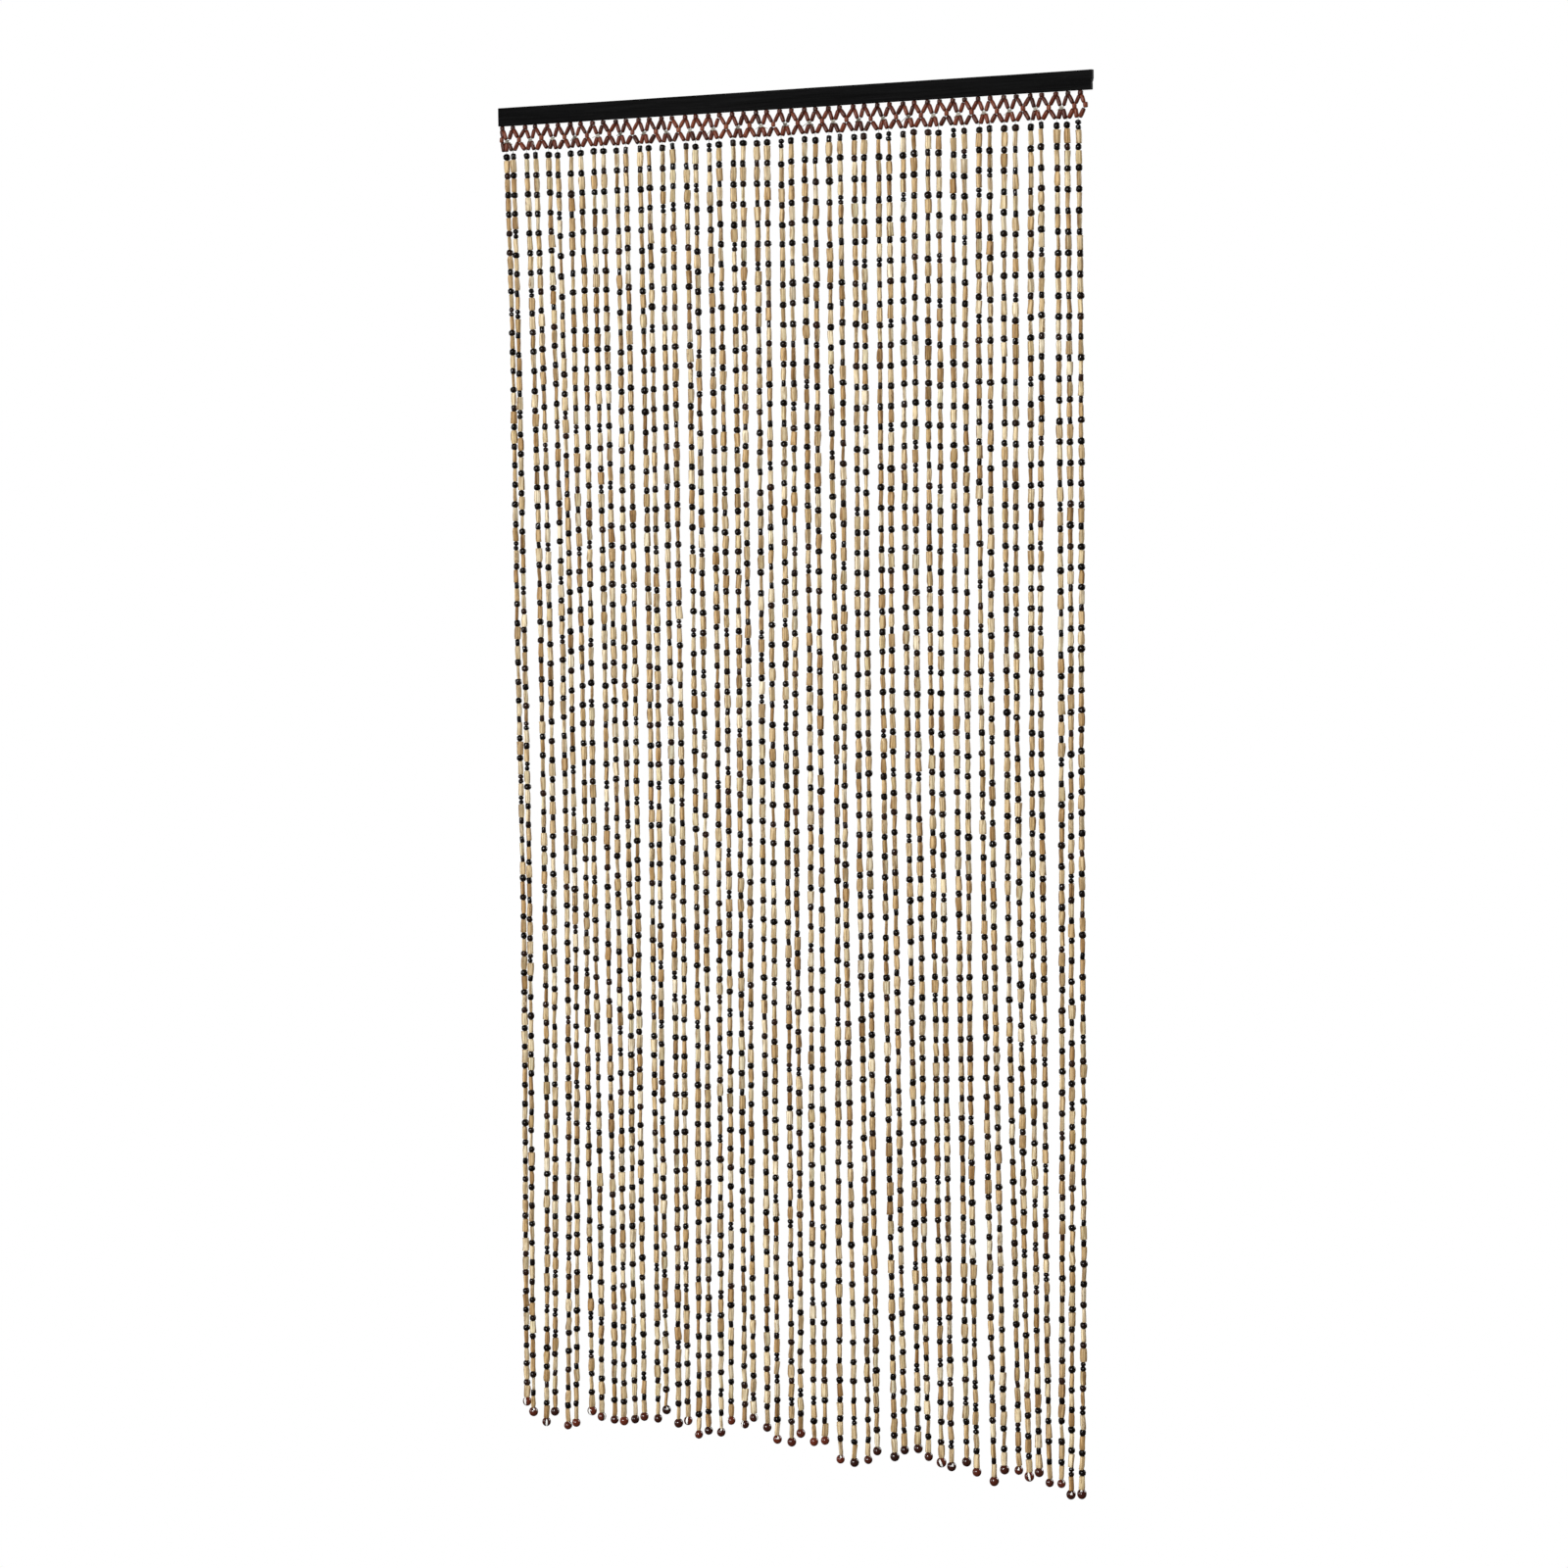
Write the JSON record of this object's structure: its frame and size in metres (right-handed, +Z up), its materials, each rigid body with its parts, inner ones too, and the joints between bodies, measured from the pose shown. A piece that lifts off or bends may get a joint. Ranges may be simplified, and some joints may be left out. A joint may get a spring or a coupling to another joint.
{
  "type": "bead curtain with header rail",
  "caption": "Doorway curtain of bamboo and seed bead strings, hanging from a netted bead heading under a black wooden header rail.",
  "frame": {"origin": "centre of the header rail's top face", "axes": "+Z up, +X along the rail to the right as seen from the front, and the front faces -Y"},
  "size_m": [1, 0.0124, 2.016],
  "materials": {
    "rail_paint": "matt black paint over a fine wood grain",
    "bamboo": "split bamboo, tumbled smooth, satin",
    "dark_seed": "black-brown seed beads, waxed",
    "net_bead": "red-brown stained wooden beads, satin",
    "end_seed": "polished dark red-brown seed with a pale band",
    "thread": "pale twisted thread"
  },
  "bodies": {
    "root": {"header_rail": "rail_paint", "bead_net_strings": "bamboo"}
  },
  "joints": []
}
